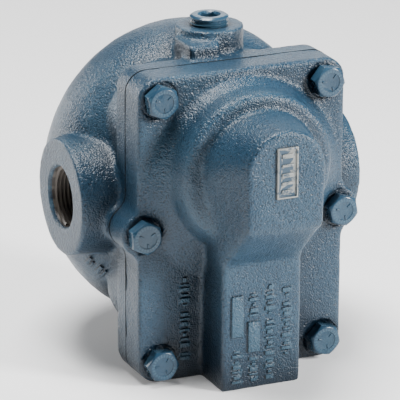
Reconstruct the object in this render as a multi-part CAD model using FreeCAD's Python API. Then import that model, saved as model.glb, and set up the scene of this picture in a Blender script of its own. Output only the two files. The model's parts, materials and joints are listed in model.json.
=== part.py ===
import FreeCAD, Part
import math
import os

# Float and thermostatic steam trap with 3/4 inch female pipe threads, in millimetres.
# Origin: centre of the outlet's mouth in the bottom face. +Z is up, -Y is the cover's front,
# and X runs through the two opposite inlets. The trap is symmetric about X = 0 outside.

V = FreeCAD.Vector
RIGHT = V(1, 0, 0)
BACK = V(0, 1, 0)
UP = V(0, 0, 1)

# Clearances and fits
running_gap = 0.05        # radial, a shaft that turns or slides in a hole
thread_gap = 0.05         # radial, a screw in its plain-modelled thread
hole_gap = 0.3            # radial, a screw through a clearance hole
seat_gap = 0.1            # a closed valve from its seat
side_gap = 0.5            # between cheeks that turn beside each other
end_gap = 0.2             # behind what sits in a groove or a blind end

# Pipe threads, modelled plain at the mean thread radius
port_radius = 12.56       # 3/4 inch NPT
port_thread_length = 17.0
port_countersink = 1.1
port_relief = 1.8         # radial, wider cored way behind an inlet's thread
vent_plug_thread = 7.96   # 3/8 inch NPT

# Flanges, shared by the cover, the gasket and the body
flange_half_width = 47.4
flange_height = 134.8
flange_corner = 9.3
flange_edge = 1.4
cover_flange_thickness = 14.1
body_flange_thickness = 10.0
gasket_thickness = 0.8
ear_blend = 8.0
opening_side_inset = 11.4
opening_end_inset = 17.4
opening_corner = 24.0

# Cap screws, 5/16 inch
bolt_radius = 3.97
bolt_across_flats = 12.7
bolt_head_height = 5.6
bolt_length = 22.2
bolt_ear_inset = 1.8      # middle screws inside the flange's straight side
bolt_hole_extra = 1.2     # depth of the blind hole beyond the screw
spot_face_radius = 8.2
spot_face_depth = 0.3
bolt_turns = (8, 21, 4, 13, 27, 16)   # how far each head is turned, in degrees

# Cover: outlet column, round dome and the arched boss on it
column_half_width = 18.2
column_depth = 34.8
column_overlap = 5.6      # column's top above the ramp's foot
dome_base_radius = 45.0
dome_base_rise = 18.7     # this and the other rises are above the flange's middle
dome_waist_radius = 36.4   # above the dome's flared foot
dome_waist_rise = 24.8
dome_waist_stand = 6.0
dome_ridge_radius = 33.4
dome_ridge_rise = 27.6
dome_stand = 17.2         # from the flange's front to the dome's ridge
dome_round = 3.2
arch_radius = 17.5
arch_root_radius = 26.3   # where the boss leaves the dome, about the ridge's centre
arch_rise = 34.9
arch_stand = 43.1         # from the flange's front to the arched boss's face
ramp_top_rise = 9.7
ramp_foot_rise = -11.0
ramp_round = 7.0
cast_wall = 6.0
passage_half_width = 11.0
passage_rear_wall = 9.6   # carries the main valve's seat
passage_front_lift = 1.6  # front slant above the ramp outside it
passage_rear_drop = 2.5   # rear slant's top below the pocket
passage_rear_run = 17.0   # rear slant's height
pocket_radius = 22.5
pocket_depth = 21.6
vent_wall = 6.0           # between the pocket and the passage

# Blank raised pads on the cover
pad_stand = 0.9
name_pad = (14.0, 14.0, 36.0)     # width, bottom and top above the ramp's foot line
rating_pads = ((-14.2, -7.6, 24.2, 42.4), (-6.6, 0.2, 16.6, 30.2))
side_pad = (-28.4, -24.4, 10.0, 46.0)

# Body: bowl, neck, inlet hubs and the vent boss
port_face_stand = 1.85    # inlet faces beyond the bowl's sides
bowl_half_height = 67.2
bowl_half_depth = 48.1
bowl_back_set = 46.3      # bowl's centre behind the body's front face
bowl_rise = 5.3
bowl_wall = 6.0
neck_side_inset = 1.8
neck_bottom_inset = 7.6
neck_top_inset = 4.4
neck_corner = 26.0
neck_depth = 25.0
port_face_distance = 130.5
port_hub_radius = 25.5
port_rise = 6.1
port_back_set = 28.6      # ports' axis behind the body's front face
hub_edge = 1.0
vent_boss_radius = 14.6
vent_boss_back_set = 20.0
vent_boss_stand = 10.4    # above the flange's top
vent_web = (-16.4, -3.0, 3.8)     # left, right, and how far the web's top is below the boss
vent_web_set_back = 2.0   # web's front behind the flange's
vent_web_slope = 1.6      # bevel along the web's upper front edge

# Vent plug
plug_radius = 8.5
plug_stand = 4.2
plug_length = 15.0
plug_socket_across_flats = 7.9
plug_socket_depth = 8.0

# Main valve: seat, gasket and head
seat_drop = 38.3          # main valve below the bowl's centre
seat_thread_radius = 6.5
seat_across_flats = 16.0
seat_head_height = 4.4
seat_gasket_thickness = 0.6
seat_bore_radius = 3.6
orifice_radius = 2.2
orifice_chamfer = 1.2
valve_ball_radius = 3.6
valve_body_length = 2.7
valve_stem_radius = 1.5
valve_nut_across_flats = 5.5
valve_nut_height = 2.4

# Bracket, pivot and lever
bracket_margin = 0.5       # plate beyond the screw heads
bracket_bottom = 20.8
bracket_thickness = 2.0
ear_radius = 4.2
ear_thickness = 2.0
pivot_rise = 14.6         # pivot above the main valve's axis
pin_radius = 2.0
pin_head_radius = 3.2
pin_head_thickness = 1.4
pin_groove_radius = 1.5
clip_thickness = 0.8
clip_radius = 3.7
lever_half_width = 8.0
lever_thickness = 1.5
lever_hub_radius = 3.6
screw_radius = 2.4        # small pan head screws that hold the two brackets
screw_head_radius = 3.1
screw_head_height = 2.2
screw_length = 8.0
bracket_screw_rise = 5.6  # screws above the pivot

# Float on its lever, laid out along the arm from the pivot
arm_droop = 7.8           # degrees below level with the valve shut
arm_length = 44.6
float_radius = 26.0
float_wall = 0.7
float_seam = 0.05
float_boss_radius = 4.6
float_boss_length = 4.4
float_screw_radius = 2.0
float_screw_across_flats = 7.0
float_screw_head = 2.6
float_washer_radius = 3.7
float_washer_thickness = 0.8
tongue_half_height = 4.6

# Thermostatic vent: seat, head, bellows and the frame that carries it
vent_rise = 28.0
vent_seat_thread = 6.0
vent_seat_across_flats = 15.0
vent_seat_head = 4.0
vent_seat_gasket = 0.5
vent_orifice = 2.5
vent_lip_radius = 4.0
vent_lip_height = 0.6
vent_lift = 1.2
vent_head_radius = 4.5
vent_head_thickness = 2.4
vent_stem_radius = 2.0
vent_stem_length = 2.0
bellows_radius = 11.0
bellows_root = 8.2
bellows_plate = 1.5
bellows_length = 12.6
bellows_folds = 6
stud_radius = 3.0
frame_half_width = 14.0
frame_half_height = 5.0
frame_thickness = 1.5
frame_foot_reach = 21.0
frame_screw_x = 17.8
nut_across_flats = 9.5
nut_height = 3.4

# Places that follow from the sizes above
bowl_half_width = port_face_distance / 2 - port_face_stand
cover_back = column_depth / 2
column_front = -column_depth / 2
flange_front = cover_back - cover_flange_thickness
body_front = cover_back + gasket_thickness
flange_middle = flange_height / 2
bolt_corner_x = flange_half_width - flange_corner
bolt_corner_rise = flange_middle - flange_corner
bolt_ear_x = flange_half_width - bolt_ear_inset
opening_half_width = flange_half_width - opening_side_inset
opening_half_height = flange_middle - opening_end_inset
neck_half_width = flange_half_width - neck_side_inset
neck_bottom = neck_bottom_inset
neck_top = flange_height - neck_top_inset
dome_base_height = flange_middle + dome_base_rise
dome_waist_height = flange_middle + dome_waist_rise
dome_ridge_height = flange_middle + dome_ridge_rise
arch_height = flange_middle + arch_rise
ramp_top = flange_middle + ramp_top_rise
ramp_foot = flange_middle + ramp_foot_rise
column_top = ramp_foot + column_overlap
bowl_height = flange_middle + bowl_rise
port_height = flange_middle + port_rise
vent_boss_top = flange_height + vent_boss_stand
seat_height = bowl_height - seat_drop
vent_height = flange_middle + vent_rise
passage_slant_top = ramp_top + passage_front_lift
passage_slant_foot = ramp_foot + passage_front_lift
passage_rear_slant_top = vent_height - pocket_radius - passage_rear_drop
passage_rear_slant_foot = passage_rear_slant_top - passage_rear_run
arch_front = flange_front - arch_stand
dome_front = flange_front - dome_stand
bowl_centre = V(0, body_front + bowl_back_set, bowl_height)
port_y = body_front + port_back_set
vent_boss_y = body_front + vent_boss_back_set
passage_back = cover_back - passage_rear_wall
pocket_floor = cover_back - pocket_depth
seat_head_front = cover_back + seat_gasket_thickness
seat_face = seat_head_front + seat_head_height
ball_touch = valve_ball_radius * math.sqrt(0.5)
ball_centre_y = seat_face - orifice_chamfer - orifice_radius + 2 * ball_touch + seat_gap * math.sqrt(2)
pivot = V(0, ball_centre_y, seat_height + pivot_rise)
valve_plate_y = ball_centre_y + valve_body_length
bracket_face = cover_back + bracket_thickness
ear_inner = lever_half_width + side_gap
ear_outer = ear_inner + ear_thickness
clip_x = ear_outer + side_gap
bracket_screw_x = clip_x + clip_thickness + end_gap + screw_head_radius
bracket_screw_height = pivot.z + bracket_screw_rise
bracket_half_width = bracket_screw_x + screw_head_radius + bracket_margin
bracket_top = bracket_screw_height + screw_head_radius + bracket_margin
float_front = arm_length - float_radius
boss_start = float_front - float_boss_length
tongue_start = boss_start - lever_thickness
vent_seat_front = pocket_floor + vent_seat_gasket
vent_seat_face = vent_seat_front + vent_seat_head + vent_lip_height
vent_head_front = vent_seat_face + vent_lift
end_plate_front = vent_head_front + vent_head_thickness + vent_stem_length
bellows_front = end_plate_front + bellows_plate
bellows_back = bellows_front + bellows_length
frame_front = bellows_back + bellows_plate
bolt_places = [V(side * x, flange_front, flange_middle + rise)
               for x, rise in ((bolt_corner_x, bolt_corner_rise), (bolt_ear_x, 0),
                               (bolt_corner_x, -bolt_corner_rise))
               for side in (-1, 1)]


def block(x_low, x_high, y_low, y_high, z_low, z_high):
    """A box between two corners."""
    return Part.makeBox(x_high - x_low, y_high - y_low, z_high - z_low, V(x_low, y_low, z_low))


def rod(radius, start, direction, length):
    """A cylinder from start along direction."""
    return Part.makeCylinder(radius, length, start, direction)


def hexagon(across_flats, start, direction, length, turn=0):
    """A six-sided bar from start along direction, turned about itself in degrees."""
    corner = across_flats / math.sqrt(3)
    points = []
    for k in range(7):
        angle = math.radians(60 * k + turn)
        points.append(V(corner * math.cos(angle), corner * math.sin(angle), 0))
    bar = Part.Face(Part.makePolygon(points)).extrude(V(0, 0, length))
    bar.Placement = FreeCAD.Placement(start, FreeCAD.Rotation(UP, direction))
    return bar


def turned(points, start, direction):
    """A solid of revolution; points are (radius, distance along direction from start)."""
    outline = [V(radius, 0, along) for radius, along in points]
    outline.append(outline[0])
    solid = Part.Face(Part.makePolygon(outline)).revolve(V(), UP, 360)
    solid.Placement = FreeCAD.Placement(start, FreeCAD.Rotation(UP, direction))
    return solid


def slab(outline, thickness_from, thickness_to):
    """An outline of (y, z) points, extruded along X."""
    points = [V(thickness_from, y, z) for y, z in outline]
    points.append(points[0])
    face = Part.Face(Part.makePolygon(points))
    return face.extrude(V(thickness_to - thickness_from, 0, 0))


def rounded_plate(half_width, z_low, z_high, corner, y_low, y_high):
    """A plate across Y with four rounded corners."""
    plate = block(-half_width, half_width, y_low, y_high, z_low, z_high)
    corners = [edge for edge in plate.Edges if abs(edge.tangentAt(edge.FirstParameter).y) > 0.9]
    return plate.makeFillet(corner, corners)


def ear(side, y_low, y_high):
    """The lobe round a middle bolt, blended into the flange's side by two hollow arcs."""
    blend_x = flange_half_width + ear_blend
    reach = flange_corner + ear_blend
    rise = math.sqrt(reach ** 2 - (blend_x - bolt_ear_x) ** 2)
    share = flange_corner / reach
    touch = (bolt_ear_x + share * (blend_x - bolt_ear_x), share * rise)
    mid_angle = (math.atan2(touch[1] - rise, touch[0] - blend_x) % (2 * math.pi) + math.pi) / 2
    mid = (blend_x + ear_blend * math.cos(mid_angle), rise + ear_blend * math.sin(mid_angle))

    def at(x, z):
        return V(side * x, y_low, flange_middle + z)

    inner = bolt_ear_x - flange_corner
    edges = [Part.makeLine(at(inner, -rise), at(flange_half_width, -rise)),
             Part.Arc(at(flange_half_width, -rise), at(mid[0], -mid[1]),
                      at(touch[0], -touch[1])).toShape(),
             Part.Arc(at(touch[0], -touch[1]), at(bolt_ear_x + flange_corner, 0), at(*touch)).toShape(),
             Part.Arc(at(*touch), at(*mid), at(flange_half_width, rise)).toShape(),
             Part.makeLine(at(flange_half_width, rise), at(inner, rise)),
             Part.makeLine(at(inner, rise), at(inner, -rise))]
    return Part.Face(Part.Wire(edges)).extrude(V(0, y_high - y_low, 0))


def flange(y_low, y_high):
    """The outline that the cover, the gasket and the body share."""
    plate = rounded_plate(flange_half_width, 0, flange_height, flange_corner, y_low, y_high)
    return plate.fuse([ear(-1, y_low, y_high), ear(1, y_low, y_high)]).removeSplitter()


def round_rim(shape, y, radius):
    """Rounds the edges that lie in the plane at y."""
    rim = [edge for edge in shape.Edges
           if all(abs(vertex.Point.y - y) < 1e-6 for vertex in edge.Vertexes)]
    return shape.makeFillet(radius, rim)


def opening(y_low, y_high):
    """The flange's rounded opening into the bowl."""
    return rounded_plate(opening_half_width, flange_middle - opening_half_height,
                         flange_middle + opening_half_height, opening_corner, y_low, y_high)


def bolt_holes(radius, y_low, y_high):
    """One round hole for each cap screw."""
    return [rod(radius, V(place.x, y_low, place.z), BACK, y_high - y_low) for place in bolt_places]


def threaded_port(mouth, inward):
    """The cut for a pipe thread, with a countersunk mouth."""
    bore = rod(port_radius, mouth, inward, port_countersink + port_thread_length)
    sink = Part.makeCone(port_radius + port_countersink, port_radius, port_countersink, mouth, inward)
    return bore.fuse(sink)


def carve(shape, tools):
    """Cuts the tools away one after another."""
    for tool in tools:
        shape = shape.cut(tool)
    return shape


def ellipsoid(half_width, half_depth, half_height, centre):
    """A ball stretched along the three axes."""
    stretch = FreeCAD.Matrix()
    stretch.scale(half_width, half_depth, half_height)
    ball = Part.makeSphere(1).transformGeometry(stretch)
    ball.translate(centre)
    return ball


def make_body():
    flange_back = body_front + body_flange_thickness
    plate = round_rim(flange(body_front, flange_back), flange_back, flange_edge)
    neck = rounded_plate(neck_half_width, neck_bottom, neck_top, neck_corner,
                         body_front + body_flange_thickness / 2, body_front + neck_depth)
    bowl = ellipsoid(bowl_half_width, bowl_half_depth, bowl_half_height, bowl_centre)
    front_trim = block(-100, 100, body_front - 100, body_front, -100, 300)
    hollow = ellipsoid(bowl_half_width - bowl_wall, bowl_half_depth - bowl_wall,
                       bowl_half_height - bowl_wall, bowl_centre)
    hollow = hollow.fuse(opening(body_front - 1, body_front + 2 * body_flange_thickness))
    shell = plate.fuse([neck, bowl])
    boss_y = V(0, vent_boss_y, bowl_height)
    boss = rod(vent_boss_radius, boss_y, UP, vent_boss_top - bowl_height)
    left, right, drop = vent_web
    web_front = body_front + vent_web_set_back
    web = block(left, right, web_front, vent_boss_y, flange_height - 5, vent_boss_top - drop)
    brow = [edge for edge in web.Edges if abs(edge.CenterOfMass.y - web_front) < 1e-6
            and abs(edge.CenterOfMass.z - vent_boss_top + drop) < 1e-6]
    web = web.makeChamfer(vent_web_slope, brow)
    shell = carve(shell.fuse([boss, web]), [hollow, front_trim])
    half_distance = port_face_distance / 2
    hub_length = port_countersink + port_thread_length
    for side in (-1, 1):
        face = V(side * half_distance, port_y, port_height)
        hub = rod(port_hub_radius, face, RIGHT * -side, hub_length)
        mouth_edges = [edge for edge in hub.Edges
                       if abs(edge.CenterOfMass.x - face.x) < 1e-6]
        hub = hub.makeFillet(hub_edge, mouth_edges)
        shell = shell.fuse(hub)
    shell = shell.cut(front_trim)
    for side in (-1, 1):
        shell = shell.cut(threaded_port(V(side * half_distance, port_y, port_height), RIGHT * -side))
        thread_end = V(side * (half_distance - hub_length), port_y, port_height)
        shell = shell.cut(rod(port_radius + port_relief, thread_end, RIGHT * -side, hub_length))
    shell = shell.cut(rod(vent_plug_thread, V(0, vent_boss_y, vent_boss_top), UP * -1,
                          vent_boss_top - bowl_height))
    tapped_depth = bolt_length - cover_flange_thickness - gasket_thickness + bolt_hole_extra
    return carve(shell, bolt_holes(bolt_radius + thread_gap, body_front, body_front + tapped_depth))


def make_dome():
    """A leaning round dome: a flared foot, a steep side and a rounded front edge."""
    base, waist, ridge = [
        Part.Wire(Part.makeCircle(radius, V(0, y, height), BACK))
        for radius, y, height in ((dome_base_radius, flange_front, dome_base_height),
                                  (dome_waist_radius, flange_front - dome_waist_stand,
                                   dome_waist_height),
                                  (dome_ridge_radius, dome_front, dome_ridge_height))]
    side = Part.makeLoft([waist, ridge], True, True)
    front_edges = [edge for edge in side.Edges
                   if abs(edge.BoundBox.YMax - dome_front) < 1e-6]
    return Part.makeLoft([base, waist], True, True).fuse(side.makeFillet(dome_round, front_edges))


def arch_outline(y, half_width, middle, foot_half_width, foot):
    """A round-topped outline across Y, its sides drawn in towards the foot."""
    left, right = V(-half_width, y, middle), V(half_width, y, middle)
    foot_left, foot_right = V(-foot_half_width, y, foot), V(foot_half_width, y, foot)
    crown = Part.Arc(left, V(0, y, middle + half_width), right).toShape()
    return Part.Wire([Part.makeLine(foot_left, left), crown, Part.makeLine(right, foot_right),
                      Part.makeLine(foot_right, foot_left)])


def make_arch():
    """The arched boss, flared to its root and ramped back into the outlet column."""
    slope = (ramp_top - ramp_foot) / (column_front - arch_front)
    root_foot = ramp_foot - slope * (dome_front - column_front)
    face = arch_outline(arch_front, arch_radius, arch_height, arch_radius, ramp_top)
    root = arch_outline(dome_front, arch_root_radius, dome_ridge_height, column_half_width,
                        root_foot)
    arch = Part.makeLoft([face, root], True, True)
    brow = [edge for edge in arch.Edges
            if edge.BoundBox.YMax < arch_front + 1e-3 and edge.BoundBox.ZMax < ramp_top + 1e-3]
    arch = arch.makeFillet(ramp_round, brow)
    return arch.fuse(Part.Face(root).extrude(BACK * dome_stand))


def make_passage():
    """The cored way from the vent and main seats down to the outlet."""
    front = arch_front + cast_wall
    low_front = column_front + cast_wall
    vent_back = pocket_floor - vent_wall
    low = port_countersink + port_thread_length
    profile = [(front, arch_height), (front, passage_slant_top), (low_front, passage_slant_foot),
               (low_front, low), (passage_back, low), (passage_back, passage_rear_slant_foot),
               (vent_back, passage_rear_slant_top), (vent_back, arch_height)]
    way = slab(profile, -passage_half_width, passage_half_width)
    crown = rod(passage_half_width, V(0, front, arch_height), BACK, vent_back - front)
    return way.fuse(crown)


def make_cover():
    plate = round_rim(flange(flange_front, cover_back), flange_front, flange_edge)
    column = block(-column_half_width, column_half_width, column_front, cover_back, 0, column_top)
    upright = [edge for edge in column.Edges
               if abs(edge.CenterOfMass.y - column_front) < 1e-6 and edge.Length > column_top - 1]
    column = column.makeFillet(flange_edge, upright)
    cover = plate.fuse([column, make_dome(), make_arch()])
    for place in bolt_places:
        start = place + BACK * spot_face_depth
        cover = cover.cut(rod(spot_face_radius, start, BACK * -1, dome_stand))
    pocket = rod(pocket_radius, V(0, cover_back, vent_height), BACK * -1, pocket_depth)
    cover = carve(cover, [make_passage(), pocket, threaded_port(V(), UP)])
    cover = cover.cut(rod(seat_thread_radius + thread_gap, V(0, passage_back - 1, seat_height), BACK,
                          passage_rear_wall + 2))
    cover = cover.cut(rod(vent_seat_thread + thread_gap,
                          V(0, pocket_floor - vent_wall - 1, vent_height), BACK, vent_wall + 2))
    for places, grip in ((bracket_screw_places(), bracket_thickness),
                         (frame_screw_places(), frame_thickness)):
        for start in places:
            depth = screw_length - grip + end_gap
            cover = cover.cut(rod(screw_radius + thread_gap, start, BACK * -1, depth))
    cover = carve(cover, bolt_holes(bolt_radius + hole_gap, flange_front - 1, cover_back + 1))
    for pad in make_pads():
        cover = cover.fuse(pad)
    return cover


def make_pads():
    """Blank raised pads, sunk a little into the faces that carry them."""
    width, bottom, top = name_pad
    pads = [block(-width / 2 + 2, width / 2 - 2, arch_front - pad_stand, arch_front + 1,
                  ramp_top + bottom, ramp_top + top)]
    for left, right, low, high in rating_pads:
        pads.append(block(left, right, column_front - pad_stand, column_front + 1, low, high))
    left, right, low, high = side_pad
    pads.append(block(left, right, flange_front - pad_stand, flange_front + 1, low, high))
    return pads


def make_gasket():
    sheet = flange(cover_back, body_front)
    return carve(sheet, [opening(cover_back - 1, body_front + 1)]
                 + bolt_holes(bolt_radius + hole_gap, cover_back - 1, body_front + 1))


def make_bolt(place, turn):
    """A hex cap screw: washer face, chamfered head and shank."""
    seat = place + BACK * spot_face_depth
    corner = bolt_across_flats / math.sqrt(3)
    head = hexagon(bolt_across_flats, seat, BACK * -1, bolt_head_height, turn)
    chamfer = turned([(0, 0), (corner * 0.95, 0), (corner, 0.4), (corner, bolt_head_height * 0.86),
                      (bolt_across_flats / 2 * 0.96, bolt_head_height), (0, bolt_head_height)],
                     seat, BACK * -1)
    shank = rod(bolt_radius, seat, BACK, bolt_length)
    return head.common(chamfer).fuse(shank)


def make_bolts():
    bolts = [make_bolt(place, turn) for place, turn in zip(bolt_places, bolt_turns)]
    return Part.makeCompound(bolts)


def make_vent_plug():
    top = V(0, vent_boss_y, vent_boss_top + plug_stand)
    below = plug_length - plug_stand
    inner = vent_plug_thread - thread_gap
    plug = turned([(0, 0), (plug_radius - 0.9, 0), (plug_radius, 0.9), (plug_radius, plug_stand),
                   (inner, plug_stand), (inner, plug_stand + below - 1),
                   (inner - 1, plug_stand + below), (0, plug_stand + below)], top, UP * -1)
    socket = hexagon(plug_socket_across_flats, top, UP * -1, plug_socket_depth, 12)
    lead = Part.makeCone(plug_socket_across_flats / math.sqrt(3) + 0.3, 0,
                         plug_socket_across_flats / math.sqrt(3) + 0.3, top, UP * -1)
    return plug.cut([socket, lead])


def make_seat():
    start = V(0, passage_back + 0.4, seat_height)
    thread = rod(seat_thread_radius, start, BACK, seat_head_front - start.y)
    head = hexagon(seat_across_flats, V(0, seat_head_front, seat_height), BACK, seat_head_height)
    bore = rod(seat_bore_radius, start, BACK, cover_back - start.y)
    orifice = rod(orifice_radius, start, BACK, seat_face - start.y)
    chamfer = Part.makeCone(orifice_radius, orifice_radius + orifice_chamfer, orifice_chamfer,
                            V(0, seat_face - orifice_chamfer, seat_height), BACK)
    return thread.fuse(head).cut([bore, orifice, chamfer])


def ring(outer, inner, start, direction, thickness):
    """A flat washer."""
    return rod(outer, start, direction, thickness).cut(rod(inner, start, direction, thickness))


def make_seat_gasket():
    return ring(seat_across_flats / 2, seat_thread_radius + hole_gap, V(0, cover_back, seat_height),
                BACK, seat_gasket_thickness)


def make_bracket():
    """The plate on the cover's back, with two ears that carry the pivot pin."""
    plate = block(-bracket_half_width, bracket_half_width, cover_back, bracket_face,
                  bracket_bottom, bracket_top)
    plate = plate.cut(rod(seat_across_flats / math.sqrt(3) + 1, V(0, cover_back, seat_height),
                          BACK, bracket_thickness))
    for start in bracket_screw_places():
        plate = plate.cut(rod(screw_radius + hole_gap, start, BACK, bracket_thickness))
    pieces = [plate]
    for x in (-ear_outer, ear_inner):
        web = block(x, x + ear_thickness, cover_back, pivot.y, pivot.z - ear_radius,
                    pivot.z + ear_radius)
        tip = rod(ear_radius, V(x, pivot.y, pivot.z), RIGHT, ear_thickness)
        pieces.append(web.fuse(tip))
    bracket = pieces[0].fuse(pieces[1:])
    pin_hole = rod(pin_radius + running_gap, V(-ear_outer - 1, pivot.y, pivot.z), RIGHT,
                   2 * ear_outer + 2)
    return bracket.cut(pin_hole).removeSplitter()


def bracket_screw_places():
    return [V(side * bracket_screw_x, cover_back, bracket_screw_height) for side in (-1, 1)]


def frame_screw_places():
    return [V(side * frame_screw_x, pocket_floor, vent_height) for side in (-1, 1)]


def make_pan_screws(places, grip):
    """Small slotted pan head screws; grip is the sheet that each one holds."""
    screws = []
    for place in places:
        under_head = place + BACK * grip
        head = rod(screw_head_radius, under_head, BACK, screw_head_height)
        shank = rod(screw_radius, under_head, BACK * -1, screw_length)
        slot = block(place.x - screw_head_radius, place.x + screw_head_radius,
                     under_head.y + screw_head_height * 0.5, under_head.y + screw_head_height + 1,
                     place.z - 0.4, place.z + 0.4)
        screws.append(head.fuse(shank).cut(slot))
    return Part.makeCompound(screws)


def make_pivot_pin():
    start = V(-ear_outer - side_gap / 2 - pin_head_thickness, pivot.y, pivot.z)
    to_groove = clip_x - start.x
    end = to_groove + clip_thickness + end_gap + 1.2
    return turned([(0, 0), (pin_head_radius, 0), (pin_head_radius, pin_head_thickness),
                   (pin_radius, pin_head_thickness), (pin_radius, to_groove - end_gap / 2),
                   (pin_groove_radius, to_groove - end_gap / 2),
                   (pin_groove_radius, to_groove + clip_thickness + end_gap / 2),
                   (pin_radius, to_groove + clip_thickness + end_gap / 2), (pin_radius, end), (0, end)],
                  start, RIGHT)


def make_pivot_clip():
    """An open retaining ring in the pin's groove."""
    start = V(clip_x, pivot.y, pivot.z)
    clip = ring(clip_radius, pin_groove_radius + running_gap, start, RIGHT, clip_thickness)
    mouth = pin_groove_radius * 0.8
    return clip.cut(block(clip_x, clip_x + clip_thickness, pivot.y - mouth, pivot.y + mouth,
                          pivot.z - clip_radius, pivot.z))


def droop(shape):
    """Turns what was laid out level along +Y from the pivot down to the shut position."""
    shape.rotate(pivot, RIGHT, -arm_droop)
    return shape


def along_arm(distance, rise=0, x=0):
    """A point on the level arm."""
    return V(x, pivot.y + distance, pivot.z + rise)


def make_lever():
    """A pressed channel: two cheeks on the pin, a tongue for the float and a plate for the valve."""
    plate_bottom = seat_height - tongue_half_height
    valve_plate = block(-lever_half_width, lever_half_width, valve_plate_y,
                        valve_plate_y + lever_thickness, plate_bottom, seat_height + pivot_rise * 0.6)
    valve_plate = valve_plate.cut(rod(valve_stem_radius + running_gap,
                                      V(0, valve_plate_y, seat_height), BACK, lever_thickness))
    start = along_arm(tongue_start, -tongue_half_height, -lever_half_width)
    tongue = Part.makeBox(2 * lever_half_width, lever_thickness, 2 * tongue_half_height, start)
    tongue = droop(tongue.cut(rod(float_screw_radius + running_gap, along_arm(tongue_start), BACK,
                                  lever_thickness)))
    pieces = [valve_plate, tongue]
    reach = tongue_start + lever_thickness
    for x in (-lever_half_width, lever_half_width - lever_thickness):
        hub = rod(lever_hub_radius, V(x, pivot.y, pivot.z), RIGHT, lever_thickness)
        arm = droop(Part.makeBox(lever_thickness, reach, 2 * lever_hub_radius,
                                 along_arm(0, -lever_hub_radius, x)))
        leg = block(x, x + lever_thickness, valve_plate_y - lever_thickness,
                    valve_plate_y + lever_thickness, plate_bottom, pivot.z)
        pieces += [hub, arm, leg]
    lever = pieces[0].fuse(pieces[1:])
    bore = rod(pin_radius + running_gap, V(-lever_half_width - 1, pivot.y, pivot.z), RIGHT,
               2 * lever_half_width + 2)
    return lever.cut(bore).removeSplitter()


def make_valve_head():
    """A ball-nosed head with a stem through the lever's plate."""
    centre = V(0, ball_centre_y, seat_height)
    nose = Part.makeSphere(valve_ball_radius, centre, BACK * -1, 0, 90, 360)
    barrel = rod(valve_ball_radius, centre, BACK, valve_body_length)
    stem = rod(valve_stem_radius, centre, BACK,
               valve_body_length + lever_thickness + valve_nut_height + 0.6)
    return nose.fuse([barrel, stem])


def make_valve_nut():
    start = V(0, valve_plate_y + lever_thickness, seat_height)
    nut = hexagon(valve_nut_across_flats, start, BACK, valve_nut_height)
    return nut.cut(rod(valve_stem_radius + thread_gap, start, BACK, valve_nut_height))


def make_float_half(front):
    """Half of the hollow ball, welded to the other half at its equator."""
    centre = along_arm(arm_length)
    shell = Part.makeSphere(float_radius, centre).cut(
        Part.makeSphere(float_radius - float_wall, centre))
    y_low = centre.y - 2 * float_radius if front else centre.y + float_seam / 2
    keep = block(-2 * float_radius, 2 * float_radius, y_low, y_low + 2 * float_radius - float_seam / 2,
                 centre.z - 2 * float_radius, centre.z + 2 * float_radius)
    return droop(shell.common(keep))


def make_float_boss():
    """A threaded boss, hollowed to sit on the ball."""
    boss = rod(float_boss_radius, along_arm(boss_start), BACK, float_boss_length + 2)
    boss = boss.cut(Part.makeSphere(float_radius + float_seam, along_arm(arm_length)))
    hole = rod(float_screw_radius + thread_gap, along_arm(boss_start), BACK, float_boss_length)
    return droop(boss.cut(hole))


def make_float_washer():
    start = along_arm(tongue_start - float_washer_thickness)
    return droop(ring(float_washer_radius, float_screw_radius + hole_gap, start, BACK,
                      float_washer_thickness))


def make_float_screw():
    under_head = along_arm(tongue_start - float_washer_thickness)
    head = hexagon(float_screw_across_flats, under_head, BACK * -1, float_screw_head)
    length = float_front - end_gap - (under_head.y - pivot.y)
    return droop(head.fuse(rod(float_screw_radius, under_head, BACK, length)))


def vent_axis(y):
    """A point on the thermostatic vent's axis."""
    return V(0, y, vent_height)


def make_vent_seat():
    start = vent_axis(pocket_floor - vent_wall + end_gap)
    thread = rod(vent_seat_thread, start, BACK, vent_seat_front - start.y)
    head = hexagon(vent_seat_across_flats, vent_axis(vent_seat_front), BACK, vent_seat_head)
    lip = rod(vent_lip_radius, vent_axis(vent_seat_front + vent_seat_head), BACK, vent_lip_height)
    return thread.fuse([head, lip]).cut(rod(vent_orifice, start, BACK, vent_seat_face - start.y))


def make_vent_seat_gasket():
    return ring(vent_seat_across_flats / 2, vent_seat_thread + hole_gap, vent_axis(pocket_floor),
                BACK, vent_seat_gasket)


def make_vent_head():
    """The disc that shuts the vent, its stem and the bellows' front plate in one turning."""
    stem_end = vent_head_thickness + vent_stem_length
    return turned([(0, 0), (vent_head_radius, 0), (vent_head_radius, vent_head_thickness),
                   (vent_stem_radius, vent_head_thickness), (vent_stem_radius, stem_end),
                   (bellows_radius, stem_end), (bellows_radius, stem_end + bellows_plate),
                   (0, stem_end + bellows_plate)], vent_axis(vent_head_front), BACK)


def make_bellows():
    """A corrugated tube between the two plates."""
    pitch = bellows_length / bellows_folds
    skin = 0.4
    outside = [(bellows_root, 0)]
    for fold in range(bellows_folds):
        outside.append((bellows_radius, (fold + 0.5) * pitch))
        outside.append((bellows_root, (fold + 1) * pitch))
    inside = [(radius - skin, along) for radius, along in reversed(outside)]
    return turned(outside + inside, vent_axis(bellows_front), BACK)


def make_bellows_cap():
    """The bellows' fixed end, with the stud that holds it to the frame."""
    stud_length = frame_thickness + nut_height + 1
    return turned([(0, 0), (bellows_radius, 0), (bellows_radius, bellows_plate),
                   (stud_radius, bellows_plate), (stud_radius, bellows_plate + stud_length),
                   (0, bellows_plate + stud_length)], vent_axis(bellows_back), BACK)


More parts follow.
